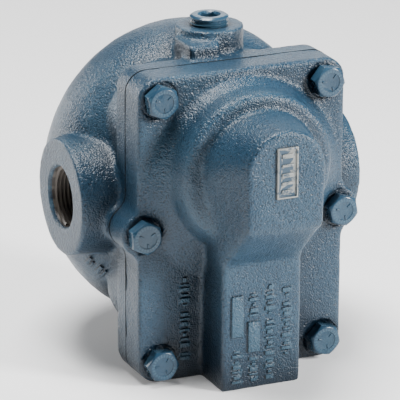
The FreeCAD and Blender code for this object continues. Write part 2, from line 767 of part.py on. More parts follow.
def make_vent_frame():
    """A bent strip: bridge behind the bellows, two legs and two feet on the pocket's floor."""
    low = vent_height - frame_half_height
    high = vent_height + frame_half_height
    frame_back = frame_front + frame_thickness
    bridge = block(-frame_half_width, frame_half_width, frame_front, frame_back, low, high)
    bridge = bridge.cut(rod(stud_radius + hole_gap, vent_axis(frame_front), BACK, frame_thickness))
    pieces = []
    for side in (-1, 1):
        inner = side * (frame_half_width - frame_thickness)
        outer = side * frame_half_width
        foot_end = side * frame_foot_reach
        pieces.append(block(min(inner, outer), max(inner, outer), pocket_floor, frame_back, low, high))
        pieces.append(block(min(inner, foot_end), max(inner, foot_end), pocket_floor,
                            pocket_floor + frame_thickness, low, high))
    frame = bridge.fuse(pieces)
    for start in frame_screw_places():
        frame = frame.cut(rod(screw_radius + hole_gap, start, BACK, frame_thickness))
    return frame.removeSplitter()


def make_vent_nut():
    start = vent_axis(frame_front + frame_thickness)
    nut = hexagon(nut_across_flats, start, BACK, nut_height)
    return nut.cut(rod(stud_radius + thread_gap, start, BACK, nut_height))


parts = {
    "body": make_body(),
    "cover": make_cover(),
    "cover_gasket": make_gasket(),
    "cover_bolts": make_bolts(),
    "vent_plug": make_vent_plug(),
    "valve_seat": make_seat(),
    "valve_seat_gasket": make_seat_gasket(),
    "pivot_bracket": make_bracket(),
    "bracket_screws": make_pan_screws(bracket_screw_places(), bracket_thickness),
    "pivot_pin": make_pivot_pin(),
    "pivot_clip": make_pivot_clip(),
    "float_lever": make_lever(),
    "valve_head": make_valve_head(),
    "valve_head_nut": make_valve_nut(),
    "float_front_half": make_float_half(True),
    "float_rear_half": make_float_half(False),
    "float_boss": make_float_boss(),
    "float_washer": make_float_washer(),
    "float_screw": make_float_screw(),
    "vent_seat": make_vent_seat(),
    "vent_seat_gasket": make_vent_seat_gasket(),
    "vent_head": make_vent_head(),
    "vent_bellows": make_bellows(),
    "bellows_cap": make_bellows_cap(),
    "vent_frame": make_vent_frame(),
    "vent_frame_screws": make_pan_screws(frame_screw_places(), frame_thickness),
    "vent_frame_nut": make_vent_nut(),
}

os.makedirs("parts", exist_ok=True)
for name, shape in parts.items():
    shape.exportStep(f"parts/{name}.step")
    bounds = shape.BoundBox
    print(f"{name:20} valid {shape.isValid()} solids {len(shape.Solids)} volume {shape.Volume:10.1f}"
          f"  X {bounds.XMin:7.2f} {bounds.XMax:7.2f}  Y {bounds.YMin:7.2f} {bounds.YMax:7.2f}"
          f"  Z {bounds.ZMin:7.2f} {bounds.ZMax:7.2f}")
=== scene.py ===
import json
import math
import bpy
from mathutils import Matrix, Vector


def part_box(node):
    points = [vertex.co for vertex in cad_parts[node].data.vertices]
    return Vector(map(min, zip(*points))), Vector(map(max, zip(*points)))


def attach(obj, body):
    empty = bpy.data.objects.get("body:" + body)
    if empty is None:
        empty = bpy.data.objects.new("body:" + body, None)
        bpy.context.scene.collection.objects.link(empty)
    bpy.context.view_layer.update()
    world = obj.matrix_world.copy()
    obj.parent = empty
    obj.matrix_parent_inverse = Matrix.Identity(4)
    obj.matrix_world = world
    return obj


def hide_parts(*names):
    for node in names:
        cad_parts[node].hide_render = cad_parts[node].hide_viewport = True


bl_info = {
    "name": "Float and thermostatic steam trap",
    "version": (1, 0, 0),
    "blender": (4, 5, 0),
    "location": "3D View > Sidebar > Steam trap",
    "description": "Builds the finish of a cast-iron steam trap round its packed CAD frame",
    "category": "Object",
}

import bmesh
import bpy
import numpy as np
from bpy.props import FloatProperty, FloatVectorProperty, PointerProperty
from mathutils import Matrix, Vector

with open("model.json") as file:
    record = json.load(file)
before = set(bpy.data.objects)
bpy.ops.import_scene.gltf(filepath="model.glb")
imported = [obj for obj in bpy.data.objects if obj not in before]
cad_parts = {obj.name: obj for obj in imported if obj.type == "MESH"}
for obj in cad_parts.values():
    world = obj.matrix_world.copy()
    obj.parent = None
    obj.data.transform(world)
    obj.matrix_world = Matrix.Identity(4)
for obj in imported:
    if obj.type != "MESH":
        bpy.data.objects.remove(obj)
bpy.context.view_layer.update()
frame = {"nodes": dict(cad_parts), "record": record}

RIGHT = Vector((1, 0, 0))
BACK = Vector((0, 1, 0))
UP = Vector((0, 0, 1))
MM = 0.001
MOUNTS = {mount["name"]: mount for mount in frame["record"]["mounts"]}


def spread(node):
    """The lowest corner, highest corner and centre of a CAD node."""
    low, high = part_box(node)
    return low, high, (low + high) / 2


BODY_HIGH = spread("body")[1]
COVER_LOW = spread("cover")[0]
GASKET_LOW, GASKET_HIGH, _ = spread("cover_gasket")
PLUG_LOW, PLUG_HIGH, PLUG_MIDDLE = spread("vent_plug")
FLANGE_MIDDLE = GASKET_HIGH.z / 2
INLET_LEFT = Vector(MOUNTS["inlet_left"]["pos_m"])
BORE_RADIUS = MOUNTS["outlet"]["dims"]["r_mm"] * MM
THREAD_LENGTH = MOUNTS["outlet"]["dims"]["length_mm"] * MM
SEAT_MIDDLE = spread("valve_seat")[2]
COLUMN_FRONT = -GASKET_LOW.y
ARCH_FRONT = COVER_LOW.y + 0.9 * MM
PASSAGE_FRONT = ARCH_FRONT + 5.2 * MM
BOLT_TURNS = (8, 21, 4, 13, 27, 16)
SOCKET_ACROSS_FLATS = 7.9 * MM
SCREW_PITCH = 0.001411
THREAD_ROOT_SHARE = 0.42
THREAD_START = 0.0020
INLET_WAY_RADIUS = 0.0152
VENT_WAY_RADIUS = 0.0086
OUTLET_WAY_RADIUS = 0.0146
SEAT_HOLE_RADIUS = 0.0074
VENT_HOLE_RADIUS = 0.0069
SMALL_HOLE_RADIUS = 0.0029
SMALL_HOLE_INSET = 0.0031
PASSAGE_RADIUS = 0.0118
ARCH_MIDDLE = 0.1023
SHARP_ANGLE = 44
CAMERA_AIM = Vector((-0.01304, 0.0178, 0.0742))
CAMERA_DISTANCE = 1.3568
CAMERA_ANGLES = (24.24, 18.86, 0.25)
CAMERA_LENS = 287.9
# name, place, width and power of each area light
LIGHTS = (("key", (0.80, -0.78, 0.50), 0.28, 29),
          ("side", (-0.58, 1.15, 0.26), 0.55, 8),
          ("back", (0.48, 1.05, 0.46), 0.7, 2.8),
          ("top", (-0.10, 0.10, 1.0), 0.42, 21))
LIGHT_AIM = Vector((0, 0.02, 0.075))


def length(name, description, default):
    """A length property, in metres."""
    return FloatProperty(name=name, description=description, default=default, unit="LENGTH",
                         precision=5)


def colour(name, description, default):
    """A colour property."""
    return FloatVectorProperty(name=name, description=description, default=default, size=3,
                               subtype="COLOR", min=0, max=1)


class TrapSizes(bpy.types.PropertyGroup):
    """Sizes of the visible castings, fasteners and threads."""

    casting_grid: length("Casting grid", "Size of the faces that the cast skin is built from",
                         0.00100)
    cast_lumps: length("Cast lumps", "Height of the uneven sand-cast skin", 0.00030)
    bowl_inner_width: length("Bowl inner width", "Half of the bowl's inner width", 0.0574)
    bowl_inner_depth: length("Bowl inner depth", "Half of the bowl's inner depth", 0.0421)
    bowl_inner_height: length("Bowl inner height", "Half of the bowl's inner height", 0.0612)
    bowl_back_set: length("Bowl set-back", "Bowl's centre behind the body's front face", 0.0463)
    bowl_rise: length("Bowl rise", "Bowl's centre above the flange's middle", 0.0053)
    opening_half_width: length("Opening half width", "Half of the flange opening's width", 0.036)
    opening_half_height: length("Opening half height", "Half of the flange opening's height", 0.050)
    opening_corner: length("Opening corner", "Corner radius of the flange's opening", 0.024)
    bolt_inset: length("Bolt inset", "Corner screws inside the flange's edges", 0.0093)
    flange_half_width: length("Flange half width", "Half of the flange's straight width", 0.0474)
    bolt_ear_inset: length("Ear inset", "Middle screws inside the flange's sides", 0.0018)
    bolt_radius: length("Bolt radius", "Radius of the cap screws' shanks", 0.00397)
    bolt_across_flats: length("Across flats", "Width of the screw heads", 0.0127)
    bolt_head_height: length("Head height", "Height of the screw heads", 0.0056)
    spot_face_radius: length("Spot face radius", "Flat turned round each cap screw", 0.0082)
    cover_thickness: length("Cover thickness", "Thickness of the cover's flange", 0.0141)
    vent_rise: length("Vent rise", "Thermostatic vent above the flange's middle", 0.028)
    pocket_radius: length("Pocket radius", "Radius of the cover's round pocket", 0.0225)
    pocket_depth: length("Pocket depth", "Depth of the cover's round pocket", 0.0216)
    pipe_pitch: length("Pipe pitch", "Pitch of the pipe threads", 0.001814)
    plug_pitch: length("Plug pitch", "Pitch of the vent plug's thread", 0.001411)
    thread_height: length("Thread height", "Height of the pipe threads", 0.0012)
    mark_height: length("Mark height", "How far the cast bars stand proud", 0.00055)


class TrapColours(bpy.types.PropertyGroup):
    """Colours of the finishes."""

    enamel: colour("Enamel", "Gloss enamel on the castings", (0.018, 0.049, 0.084))
    enamel_thin: colour("Thin enamel", "Where the enamel is thin on edges", (0.055, 0.120, 0.172))
    # dark enamel for the sand grit specks, and also the colour of the painted shade in creases and
    # hollows
    grit_and_shade_enamel: colour("Deep enamel", "Where the enamel lies thick in hollows",
                        (0.003, 0.010, 0.020))
    thread_metal: colour("Thread metal", "Oiled cast iron of the cut threads",
                         (0.050, 0.042, 0.037))
    gasket: colour("Gasket", "Compressed fibre sheet", (0.004, 0.005, 0.006))
    steel: colour("Steel", "Turned and pressed stainless steel", (0.52, 0.52, 0.53))
    bronze: colour("Bronze", "Phosphor bronze of the bellows", (0.55, 0.33, 0.15))
    copper: colour("Copper", "Soft copper sealing rings", (0.62, 0.28, 0.14))
    floor: colour("Floor", "Pale studio floor", (0.9, 0.9, 0.9))


def sizes():
    return bpy.context.scene.trap_sizes


def colours():
    return bpy.context.scene.trap_colours


# ---------------------------------------------------------------- shader maths


SURFACE_SOCKETS = {"colour": "Base Color", "roughness": "Roughness", "metallic": "Metallic",
                   "normal": "Normal", "specular": "Specular IOR Level",
                   "glow": "Emission Strength"}


class Socket:
    """A shader socket with arithmetic; every expression adds its Math nodes."""

    def __init__(self, shader, link):
        self.shader = shader
        self.link = link

    def _math(self, operation, first, second):
        return self.shader.add("ShaderNodeMath", {"operation": operation}, {0: first, 1: second})

    def __add__(self, other):
        return self._math("ADD", self, other)

    def __radd__(self, other):
        return self._math("ADD", other, self)

    def __mul__(self, other):
        return self._math("MULTIPLY", self, other)

    def __rmul__(self, other):
        return self._math("MULTIPLY", other, self)


class Shader:
    """One material's node tree."""

    def __init__(self, name, **constants):
        self.material = bpy.data.materials.new(name)
        self.material.use_nodes = True
        self.tree = self.material.node_tree
        self.surface = self.tree.nodes["Principled BSDF"]
        for socket, value in constants.items():
            self.surface.inputs[SURFACE_SOCKETS[socket]].default_value = value
        self.place = Socket(self, self.tree.nodes.new("ShaderNodeTexCoord").outputs["Object"])

    def add(self, kind, settings=None, inputs=None, output=0):
        """Adds a node: settings first, then the values or links of its sockets."""
        node = self.tree.nodes.new(kind)
        for key, value in (settings or {}).items():
            setattr(node, key, value)
        for key, value in (inputs or {}).items():
            if isinstance(value, Socket):
                self.tree.links.new(value.link, node.inputs[key])
            else:
                node.inputs[key].default_value = value
        return Socket(self, node.outputs[output])

    def noise(self, scale, detail=2, roughness=0.5, stretch=None):
        place = self.place
        if stretch:
            place = self.add("ShaderNodeMapping", None, {"Vector": place, "Scale": stretch})
        return self.add("ShaderNodeTexNoise", None,
                        {"Vector": place, "Scale": scale, "Detail": detail, "Roughness": roughness})

    def ramp(self, value, low, high):
        """0 below low, 1 above high, smooth between."""
        return self.add("ShaderNodeMapRange", {"interpolation_type": "SMOOTHSTEP"},
                        {"Value": value, "From Min": low, "From Max": high})

    def mix(self, factor, first, second):
        node = self.tree.nodes.new("ShaderNodeMix")
        node.data_type = "RGBA"
        for key, value in ((0, factor), (6, first), (7, second)):
            if isinstance(value, Socket):
                self.tree.links.new(value.link, node.inputs[key])
            else:
                node.inputs[key].default_value = value if key == 0 else (*value, 1)
        return Socket(self, node.outputs[2])

    def bump(self, height, distance, normal=None):
        inputs = {"Height": height, "Distance": distance, "Strength": 1.0}
        if normal:
            inputs["Normal"] = normal
        return self.add("ShaderNodeBump", None, inputs)

    def feed(self, **links):
        for socket, link in links.items():
            self.tree.links.new(link.link, self.surface.inputs[SURFACE_SOCKETS[socket]])
        return self.material


def pointiness(shader):
    return shader.add("ShaderNodeNewGeometry", output="Pointiness")


def ambient_occlusion(shader, distance):
    """1 in the open, falling to 0 in deep hollows; the enamel uses it to paint shade there."""
    return shader.add("ShaderNodeAmbientOcclusion", {"samples": 16}, {"Distance": distance}, 1)


def enamel(name, grit, roughness):
    """Gloss enamel over a sand-cast skin: uneven coat, orange peel, sand grit, and painted shade in
    creases and hollows.
    """
    c = colours()
    shader = Shader(name, specular=0.40)
    cloud = shader.noise(38, 3)
    sand = shader.noise(1450, 1.5, 0.5)
    peel = shader.noise(760, 1, 0.5)
    edge = shader.ramp(pointiness(shader), 0.54, 0.62)
    crease_shade = shader.ramp(pointiness(shader), 0.47, 0.40)
    tint = shader.mix(shader.ramp(cloud, 0.4, 0.75) * 0.3, c.enamel, c.enamel_thin)
    tint = shader.mix(shader.ramp(sand, 0.48, 0.32) * (0.85 * grit), tint, c.grit_and_shade_enamel)
    # painted shade: concave creases darkened towards the dark enamel
    tint = shader.mix(crease_shade * 0.6, tint, c.grit_and_shade_enamel)
    # painted shade: hollows darkened towards the dark enamel by ambient occlusion
    occlusion_shade = shader.ramp(ambient_occlusion(shader, 0.035), 0.97, 0.50)
    tint = shader.mix(occlusion_shade * (0.9 * grit), tint, c.grit_and_shade_enamel)
    tint = shader.mix(edge * 0.4, tint, c.enamel_thin)
    rough = roughness + 0.08 * cloud + 0.06 * sand
    normal = shader.bump(peel, 0.00026 * grit)
    normal = shader.bump(sand, 0.00042 * grit, normal)
    return shader.feed(colour=tint, roughness=rough, normal=normal)


def make_enamel():
    return enamel("cast_gloss_enamel", 1.0, 0.24)


def make_bolt_enamel():
    """The same enamel sprayed on smooth screw heads."""
    return enamel("screw_gloss_enamel", 0.15, 0.15)


def make_thread_metal():
    """Cut iron threads under a film of oil, brighter along their crests."""
    c = colours()
    shader = Shader("cut_thread_iron", metallic=0.2, specular=0.25)
    bloom = shader.noise(160, 3, 0.5)
    crest = shader.ramp(pointiness(shader), 0.52, 0.60)
    tint = shader.mix(shader.ramp(bloom, 0.45, 0.75) * 0.6, c.thread_metal, (0.020, 0.020, 0.020))
    tint = shader.mix(crest * 0.7, tint, (0.13, 0.115, 0.10))
    rough = 0.34 + 0.15 * bloom
    return shader.feed(colour=tint, roughness=rough, normal=shader.bump(bloom, 0.00005))


def make_worn_enamel():
    """Enamel rubbed through to pale metal on raised edges."""
    c = colours()
    shader = Shader("worn_gloss_enamel", specular=0.6)
    rubbed = shader.noise(420, 4, 0.65)
    edge = shader.ramp(pointiness(shader), 0.505, 0.56)
    bare = shader.ramp(rubbed + 0.34 * edge, 0.66, 0.84)
    tint = shader.mix(bare, c.enamel, (0.22, 0.23, 0.22))
    rough = 0.24 + 0.2 * rubbed
    return shader.feed(colour=tint, roughness=rough, normal=shader.bump(rubbed, 0.0002))


def make_gasket_sheet():
    c = colours()
    shader = Shader("compressed_fibre", specular=0.1)
    fibres = shader.noise(700, 4, 0.7, (1, 1, 4))
    tint = shader.mix(fibres, c.gasket, (0.012, 0.013, 0.014))
    rough = 0.7 + 0.2 * fibres
    return shader.feed(colour=tint, roughness=rough, normal=shader.bump(fibres, 0.0001))


def metal(name, tint, roughness, stretch=(1, 1, 1), tarnish=0.25):
    """Bare metal with tool marks along one direction and light tarnish."""
    shader = Shader(name, metallic=1.0)
    marks = shader.noise(600, 3, 0.6, stretch)
    cloud = shader.noise(90, 3)
    dark = tuple(0.55 * part for part in tint)
    shade = shader.mix(shader.ramp(cloud, 0.4, 0.75) * tarnish, tint, dark)
    rough = roughness + 0.12 * marks + 0.1 * cloud
    return shader.feed(colour=shade, roughness=rough, normal=shader.bump(marks, 0.00006))


def make_floor_paper():
    """White paper, lit evenly from behind as on a light table."""
    shader = Shader("floor_paper", roughness=0.85, glow=0.14)
    shader.surface.inputs["Emission Color"].default_value = (1, 1, 1, 1)
    speck = shader.noise(40, 2)
    return shader.feed(colour=shader.mix(speck * 0.1, colours().floor, (1, 1, 1)))


def finish(key):
    """The shared finishes, made once."""
    name, make = {"enamel": ("cast_gloss_enamel", make_enamel),
                  "screw": ("screw_gloss_enamel", make_bolt_enamel),
                  "thread": ("cut_thread_iron", make_thread_metal),
                  "worn": ("worn_gloss_enamel", make_worn_enamel)}[key]
    return bpy.data.materials.get(name) or make()


# ---------------------------------------------------------------- mesh helpers


def piece(name, bm):
    """A new object at the world's origin, with a bmesh's shape."""
    mesh = bpy.data.meshes.new(name)
    bm.to_mesh(mesh)
    bm.free()
    obj = bpy.data.objects.new(name, mesh)
    bpy.context.scene.collection.objects.link(obj)
    return obj


def pour(source, target):
    """Adds one bmesh to another and frees it."""
    mesh = bpy.data.meshes.new("poured")
    source.to_mesh(mesh)
    source.free()
    target.from_mesh(mesh)
    bpy.data.meshes.remove(mesh)


def discard(obj):
    mesh = obj.data
    bpy.data.objects.remove(obj)
    bpy.data.meshes.remove(mesh)


def facing(direction):
    """The turn that takes +Z to a direction."""
    return UP.rotation_difference(direction).to_matrix().to_4x4()


def add_rod(bm, radius, start, direction, reach, segments=72, end_radius=None, turn=0.0):
    """A closed cylinder, prism or cone from start along direction."""
    place = Matrix.Translation(start + direction * reach / 2) @ facing(direction) \
        @ Matrix.Rotation(turn, 4, "Z")
    made = bmesh.ops.create_cone(bm, cap_ends=True, segments=segments, radius1=radius,
                                 radius2=radius if end_radius is None else end_radius,
                                 depth=reach, matrix=place)
    return made["verts"]


def add_block(bm, low, high, round_edge=0.0):
    """A block between two corners, its edges rounded if asked."""
    size = Vector(high) - Vector(low)
    centre = (Vector(high) + Vector(low)) / 2
    verts = bmesh.ops.create_cube(bm, size=1, matrix=Matrix.Translation(centre)
                                  @ Matrix.Diagonal(size).to_4x4())["verts"]
    if round_edge:
        edges = list({edge for vert in verts for edge in vert.link_edges})
        bmesh.ops.bevel(bm, geom=edges, offset=round_edge, segments=3, profile=0.5,
                        affect="EDGES", material=-1)
    return verts


def add_ball(bm, radii, centre):
    place = Matrix.Translation(centre) @ Matrix.Diagonal(Vector(radii)).to_4x4()
    bmesh.ops.create_uvsphere(bm, u_segments=96, v_segments=64, radius=1, matrix=place)


def add_rounded_plate(bm, half_width, z_low, z_high, corner, y_low, y_high):
    """A plate across Y with round corners."""
    verts = add_block(bm, (-half_width, y_low, z_low), (half_width, y_high, z_high))
    corners = [edge for edge in {edge for vert in verts for edge in vert.link_edges}
               if abs((edge.verts[0].co - edge.verts[1].co).normalized().y) > 0.9]
    bmesh.ops.bevel(bm, geom=corners, offset=corner, segments=12, profile=0.5, affect="EDGES",
                    material=-1)


def add_slab(bm, outline, half_width):
    """A (y, z) outline drawn out to both sides of the middle plane."""
    verts = [bm.verts.new((-half_width, y, z)) for y, z in outline]
    face = bm.faces.new(verts)
    made = bmesh.ops.extrude_face_region(bm, geom=[face])["geom"]
    moved = [part for part in made if isinstance(part, bmesh.types.BMVert)]
    bmesh.ops.translate(bm, verts=moved, vec=(2 * half_width, 0, 0))
    bmesh.ops.recalc_face_normals(bm, faces=bm.faces)


def add_thread(bm, start, direction, base_radius, tip_radius, pitch, turns):
    """One helical ridge of a screw thread, closed at both ends."""
    place = Matrix.Translation(start) @ facing(direction)
    corners = [bm.verts.new(place @ Vector((radius, 0, rise * pitch)))
               for radius, rise in ((base_radius, 0.06), (tip_radius, 0.44), (tip_radius, 0.56),
                                    (base_radius, 0.94))]
    edges = [bm.edges.new((corners[i], corners[(i + 1) % 4])) for i in range(4)]
    steps = int(turns * 48)
    bmesh.ops.spin(bm, geom=edges + corners, cent=start, axis=direction, angle=turns * math.tau,
                   dvec=direction * (turns * pitch / steps), steps=steps, use_merge=False)
    bmesh.ops.holes_fill(bm, edges=[edge for edge in bm.edges if edge.is_boundary], sides=4)
    bmesh.ops.recalc_face_normals(bm, faces=bm.faces)


def apply_modifier(obj, kind, **settings):
    """Runs one modifier on the mesh at once."""
    modifier = obj.modifiers.new(kind, kind)
    for key, value in settings.items():
        setattr(modifier, key, value)
    graph = bpy.context.evaluated_depsgraph_get()
    mesh = bpy.data.meshes.new_from_object(obj.evaluated_get(graph))
    obj.modifiers.clear()
    old = obj.data
    obj.data = mesh
    bpy.data.meshes.remove(old)


def combine(obj, tool, operation="DIFFERENCE"):
    """A boolean with another object, which is then discarded."""
    apply_modifier(obj, "BOOLEAN", operation=operation, object=tool, solver="MANIFOLD")
    discard(tool)
    if not obj.data.polygons:
        raise RuntimeError("nothing was left of " + obj.name)


def points_of(mesh):
    flat = np.empty(len(mesh.vertices) * 3, np.float32)
    mesh.vertices.foreach_get("co", flat)
    return flat.reshape(-1, 3).astype(float)


def normals_of(mesh):
    flat = np.empty(len(mesh.vertices) * 3, np.float32)
    mesh.vertex_normals.foreach_get("vector", flat)
    return flat.reshape(-1, 3).astype(float)


def move_points(obj, points):
    obj.data.vertices.foreach_set("co", points.astype(np.float32).ravel())
    obj.data.update()


def smoothed(obj, rounds):
    """Where the points go in some rounds of smoothing, which isn't applied."""
    modifier = obj.modifiers.new("smooth", "SMOOTH")
    modifier.factor = 0.5
    modifier.iterations = rounds
    graph = bpy.context.evaluated_depsgraph_get()
    mesh = bpy.data.meshes.new_from_object(obj.evaluated_get(graph))
    obj.modifiers.clear()
    points = points_of(mesh)
    bpy.data.meshes.remove(mesh)
    return points


def cast_blend(obj, edge_rounds, hollow_rounds):
    """Rounds the outer edges a little and fills the inner corners with wide fillets."""
    normals = normals_of(obj.data)
    crisp = smoothed(obj, edge_rounds)
    soft = smoothed(obj, hollow_rounds)
    outward = ((soft - crisp) * normals).sum(1)
    share = np.clip(outward / (0.06 * MM), 0, 1)[:, None]
    move_points(obj, crisp + (soft - crisp) * share)
    move_points(obj, smoothed(obj, 1))


def soften(obj, centre, reach, rounds):
    """Smooths the part of a casting near a point, fading out over the last third of reach."""
    points = points_of(obj.data)
    away = np.abs((points - np.array(centre)) / np.array(reach)).max(1)
    share = np.clip((1 - away) * 3, 0, 1)[:, None]
    move_points(obj, points + (smoothed(obj, rounds) - points) * share)


def cast_skin(obj, height):
    """Uneven sand-cast lumps, as geometry."""
    for scale, share in ((0.010, 1.0), (0.0036, 0.6)):
        texture = bpy.data.textures.new("cast_lumps", "CLOUDS")
        texture.noise_scale = scale
        texture.noise_depth = 1
        apply_modifier(obj, "DISPLACE", texture=texture, strength=height * share,
                       texture_coords="LOCAL", mid_level=0.62)


def copy_of(node, name):
    """A merged copy of a CAD node's mesh."""
    bm = bmesh.new()
    bm.from_mesh(frame["nodes"][node].data)
    bmesh.ops.remove_doubles(bm, verts=bm.verts, dist=0.00001)
    return piece(name, bm)


def recast(node, name, joint_face, beyond, ways, flatten, hollow_rounds, eased=()):
    """Gives a CAD casting its sand-cast skin, then cuts its own cavities into it again.

    ways(extra) lists the shapes that plug every opening; extra is how far they stand out.
    beyond is the step past the machined joint face, so that the skin ends in a sharp edge.
    """
    s = sizes()
    low, high, _ = spread(node)
    casting = copy_of(node, name)
    flats = bmesh.new()
    for corner_low, corner_high in flatten:
        add_block(flats, corner_low, corner_high)
    if flatten:
        combine(casting, piece("flats", flats))
    whole = bmesh.new()
    whole.from_mesh(casting.data)
    edge = [vert for vert in whole.verts if abs(vert.co.y - joint_face) < 0.01 * MM]
    bmesh.ops.translate(whole, verts=edge, vec=(0, beyond, 0))
    for group in ways(0):
        pour(group, whole)
    whole.to_mesh(casting.data)
    whole.free()
    apply_modifier(casting, "REMESH", mode="VOXEL", voxel_size=s.casting_grid)
    cast_blend(casting, 2, hollow_rounds)
    for centre, reach, rounds in eased:
        soften(casting, centre, reach, rounds)
    cast_skin(casting, s.cast_lumps)
    low.y = min(low.y, low.y + beyond)
    high.y = max(high.y, high.y + beyond)
    move_points(casting, np.clip(points_of(casting.data), np.array(low), np.array(high)))
    for group in ways(0.002):
        way = piece("way", group)
        combine(way, copy_of(node, "walls"))
        combine(casting, way)
    trim = bmesh.new()
    near, far = sorted((joint_face, joint_face + 4 * beyond))
    add_block(trim, (-0.2, near, -0.1), (0.2, far, 0.3))
    combine(casting, piece("trim", trim))
    return casting


def cut(casting, build):
    """Cuts the shape that build makes in an empty bmesh."""
    bm = bmesh.new()
    build(bm)
    combine(casting, piece("cutter", bm))


def thread_root():
    return BORE_RADIUS + sizes().thread_height * THREAD_ROOT_SHARE


def cut_thread_bore(casting, mouth, inward):
    """Opens a port's bore to the thread's root, with its countersink."""
    root = thread_root()
    cut(casting, lambda bm: add_rod(bm, root, mouth - inward * 0.002, inward,
                                    THREAD_LENGTH + 0.002))
    cut(casting, lambda bm: add_rod(bm, root + 0.0024, mouth - inward * 0.001, inward, 0.0026,
                                    end_radius=root - 0.0002))


def shade_smooth(obj, angle):
    for polygon in obj.data.polygons:
        polygon.use_smooth = True
    obj.data.set_sharp_from_angle(angle=math.radians(angle))


def finish_piece(obj, materials, slot, *nodes, body="housing"):
    """Gives a finished piece its materials, body and the CAD nodes it stands for; slot is not used.
    """
    obj.data.materials.clear()
    for material in materials:
        obj.data.materials.append(material)
    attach(obj, body)
    if nodes:
        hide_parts(*nodes)


def coat(node, material):
    """Gives a CAD node that keeps its shape its material."""
    slots = frame["nodes"][node].data.materials
    slots.clear()
    slots.append(material)


def bolt_places():
    """Where the six cap screws stand on the flange's front, left and right from the top."""
    s = sizes()
    corner_x = s.flange_half_width - s.bolt_inset
    rise = FLANGE_MIDDLE - s.bolt_inset
    ear_x = s.flange_half_width - s.bolt_ear_inset
    front = GASKET_LOW.y - s.cover_thickness
    return [Vector((side * x, front, FLANGE_MIDDLE + z))
            for x, z in ((corner_x, rise), (ear_x, 0), (corner_x, -rise)) for side in (-1, 1)]


def ports():
    """The middle of each port's mouth and the direction into it."""
    side = BODY_HIGH.x
    inlet = INLET_LEFT
    return {"inlet_left": (Vector((-side, inlet.y, inlet.z)), RIGHT),
            "inlet_right": (Vector((side, inlet.y, inlet.z)), -RIGHT),
            "outlet": (Vector((0, 0, 0)), UP)}


# ---------------------------------------------------------------- the castings


def body_ways(extra):
    s = sizes()
    front = GASKET_HIGH.y
    bowl = Vector((0, front + s.bowl_back_set, FLANGE_MIDDLE + s.bowl_rise))
    more = 0.0015
    groups = [bmesh.new() for _ in range(5)]
    add_ball(groups[0], (s.bowl_inner_width + more, s.bowl_inner_depth + more,
                         s.bowl_inner_height + more), bowl)
    add_rounded_plate(groups[1], s.opening_half_width + more,
                      FLANGE_MIDDLE - s.opening_half_height - more,
                      FLANGE_MIDDLE + s.opening_half_height + more, s.opening_corner,
                      front - 0.003, front + 0.021)
    for name in ("inlet_left", "inlet_right"):
        mouth, inward = ports()[name]
        add_rod(groups[2], INLET_WAY_RADIUS, mouth - inward * extra, inward, 0.038 + extra)
    top = Vector((0, PLUG_MIDDLE.y, BODY_HIGH.z + extra))
    add_rod(groups[3], VENT_WAY_RADIUS, top, -UP, top.z - bowl.z - 0.040)
    for place in bolt_places():
        add_rod(groups[4], s.bolt_radius + 0.0006, Vector((place.x, front - 0.003, place.z)), BACK,
                0.0119, 32)
    return groups


def cover_ways(extra):
    s = sizes()
    back = GASKET_LOW.y
    vent = Vector((0, back, FLANGE_MIDDLE + s.vent_rise))
    groups = [bmesh.new() for _ in range(5)]
    add_rod(groups[0], s.pocket_radius + 0.0008, vent + BACK * 0.003, -BACK,
            s.pocket_depth + 0.0038)
    front, rear, low_front, slant_top = PASSAGE_FRONT, back - 0.0088, COLUMN_FRONT + 0.0052, 0.0780
    vent_back = back - s.pocket_depth - 0.0052
    add_slab(groups[1], [(front, ARCH_MIDDLE), (front, slant_top), (low_front, 0.0573),
                         (low_front, 0.0176), (rear, 0.0176), (rear, 0.0537),
                         (vent_back, 0.0707), (vent_back, ARCH_MIDDLE)], PASSAGE_RADIUS)
    add_rod(groups[2], PASSAGE_RADIUS, Vector((0, front, ARCH_MIDDLE)), BACK, vent_back - front)
    add_rod(groups[3], OUTLET_WAY_RADIUS, Vector((0, 0, -extra)), UP, 0.0186 + extra)
    add_rod(groups[4], SEAT_HOLE_RADIUS, Vector((0, back + 0.003, SEAT_MIDDLE.z)), -BACK, 0.0135)
    add_rod(groups[4], VENT_HOLE_RADIUS, vent - BACK * (s.pocket_depth - 0.0004), -BACK, 0.0070)
    for node, start, reach in (("bracket_screws", back + 0.003, 0.0096),
                               ("vent_frame_screws", back - s.pocket_depth + 0.0004, 0.0075)):
        _, screws_high, screws_middle = spread(node)
        for side in (-1, 1):
            add_rod(groups[4], SMALL_HOLE_RADIUS,
                    Vector((side * (screws_high.x - SMALL_HOLE_INSET), start, screws_middle.z)),
                    -BACK, reach, 24)
    for place in bolt_places():
        add_rod(groups[4], s.bolt_radius + 0.0008, place - BACK * extra, BACK,
                s.cover_thickness + 0.003 + extra, 32)
    return groups


def colour_threads(casting, names):
    """Marks the faces of the cut bores for their own metal."""
    root = thread_root()
    for name in names:
        mouth, inward = ports()[name]
        for polygon in casting.data.polygons:
            away = polygon.center - mouth
            along = away.dot(inward)
            across = (away - inward * along).length
            if 0.0016 < along < THREAD_LENGTH + 0.0005 and across < root + 0.0016:
                polygon.material_index = 1


